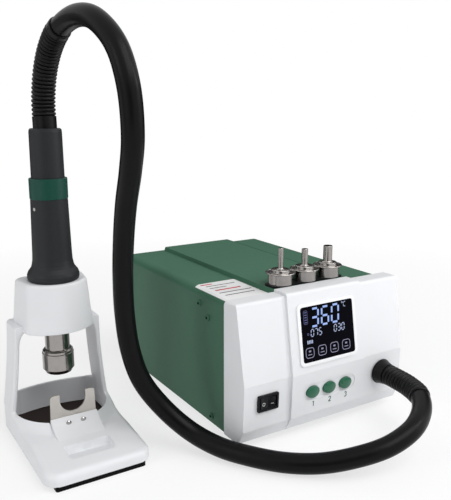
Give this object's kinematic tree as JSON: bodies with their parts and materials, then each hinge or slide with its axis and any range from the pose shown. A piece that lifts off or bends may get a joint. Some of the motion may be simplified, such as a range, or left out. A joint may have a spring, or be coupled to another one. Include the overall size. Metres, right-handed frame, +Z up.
{
  "type": "hot-air rework station",
  "caption": "Bench hot-air station: green sheet-metal unit with a white display bezel, hose to a heated handle in its own stand, and spare nozzles on a rack",
  "frame": {"origin": "on the bench, under the middle of the box round the station and the stand, without the hose", "axes": "X runs to the right across the front panel, Y from the front panel to the rear, Z up"},
  "size_m": [0.345, 0.3364, 0.3665],
  "materials": {
    "cover_green": "fine satin powder coat",
    "zinc_sheet": "plain zinc sheet",
    "panel_green": "fine satin powder coat",
    "white_moulding": "satin moulded",
    "white_gloss": "gloss",
    "display_black": "gloss",
    "circuit_board": "lacquered board",
    "black_plastic": "fine satin",
    "button_green": "satin gloss",
    "rocker_black": "satin gloss",
    "core_steel": "varnished laminations",
    "aluminium": "extruded",
    "impeller_grey": "moulded",
    "steel": "ground",
    "black_rubber": "matt",
    "nozzle_steel": "turned and polished",
    "boot_rubber": "satin",
    "hose_black": "smooth, half gloss",
    "handle_black": "fine matt texture",
    "ring_green": "satin",
    "ceramic_white": "unglazed",
    "mica": "sheet mica",
    "pad_brown": "matt",
    "fork_steel": "brushed"
  },
  "bodies": {
    "station": {"top_cover": "cover_green", "base_pan": "zinc_sheet", "rear_panel": "panel_green", "front_bezel": "white_moulding", "display_frame": "white_gloss", "display_glass": "display_black", "display_module": "circuit_board", "control_board": "circuit_board", "tact_switches": "black_plastic", "switch_housing": "black_plastic", "mains_inlet": "black_plastic", "power_board": "circuit_board", "transformer": "core_steel", "heat_sink": "aluminium", "blower_housing": "black_plastic", "blower_motor": "steel", "air_duct": "black_plastic", "boot_lock_nut": "black_plastic", "rubber_feet": "black_rubber", "cover_screws": "steel", "panel_screws": "steel", "nozzle_rack": "black_plastic", "port_boot": "boot_rubber", "hose": "hose_black", "stand_base": "white_moulding", "stand_legs": "white_moulding", "stand_collar": "white_moulding", "stand_base_plate": "zinc_sheet", "stand_strips": "black_rubber", "well_pad": "pad_brown", "nozzle_fork": "fork_steel", "fork_screws": "steel"},
    "rocker": {"switch_rocker": "rocker_black"},
    "left_button": {"button_1": "button_green"},
    "middle_button": {"button_2": "button_green"},
    "right_button": {"button_3": "button_green"},
    "small_spare": {"nozzle_small": "nozzle_steel"},
    "medium_spare": {"nozzle_medium": "nozzle_steel"},
    "large_spare": {"nozzle_large": "nozzle_steel"},
    "impeller": {"blower_impeller": "impeller_grey", "impeller_shaft": "steel"},
    "handle": {"handle_upper": "handle_black", "handle_ring": "ring_green", "handle_lower": "handle_black", "handle_screws": "steel", "heater_tube": "nozzle_steel", "nozzle_collar": "nozzle_steel", "heater_core": "ceramic_white", "mica_sleeve": "mica", "thermocouple": "steel", "handle_boot": "boot_rubber"}
  },
  "joints": [
    {"name": "rocker_tilt", "type": "hinge", "parent": "station", "child": "rocker", "pos_m": [0.0115, -0.1157, 0.0446], "axis": [0, -0.0363, 0.9993], "range_deg": [0, 16]},
    {"name": "blower_spin", "type": "hinge", "parent": "station", "child": "impeller", "pos_m": [0.1065, 0.04396, 0.04], "axis": [0, 0, 1], "continuous": true},
    {"name": "handle_lift", "type": "slide", "parent": "station", "child": "handle", "axis": [0, 0, 1], "range_m": [0, 0.095], "deforming": ["hose"]},
    {"name": "left_press", "type": "slide", "parent": "station", "child": "left_button", "axis": [0, 0.9993, 0.0363], "range_m": [0, 0.0012], "stiffness_N_per_m": 300},
    {"name": "middle_press", "type": "slide", "parent": "station", "child": "middle_button", "axis": [0, 0.9993, 0.0363], "range_m": [0, 0.0012], "stiffness_N_per_m": 300},
    {"name": "right_press", "type": "slide", "parent": "station", "child": "right_button", "axis": [0, 0.9993, 0.0363], "range_m": [0, 0.0012], "stiffness_N_per_m": 300},
    {"name": "small_lift", "type": "slide", "parent": "station", "child": "small_spare", "axis": [0, 0, 1], "range_m": [0, 0.025]},
    {"name": "medium_lift", "type": "slide", "parent": "station", "child": "medium_spare", "axis": [0, 0, 1], "range_m": [0, 0.025]},
    {"name": "large_lift", "type": "slide", "parent": "station", "child": "large_spare", "axis": [0, 0, 1], "range_m": [0, 0.025]}
  ]
}
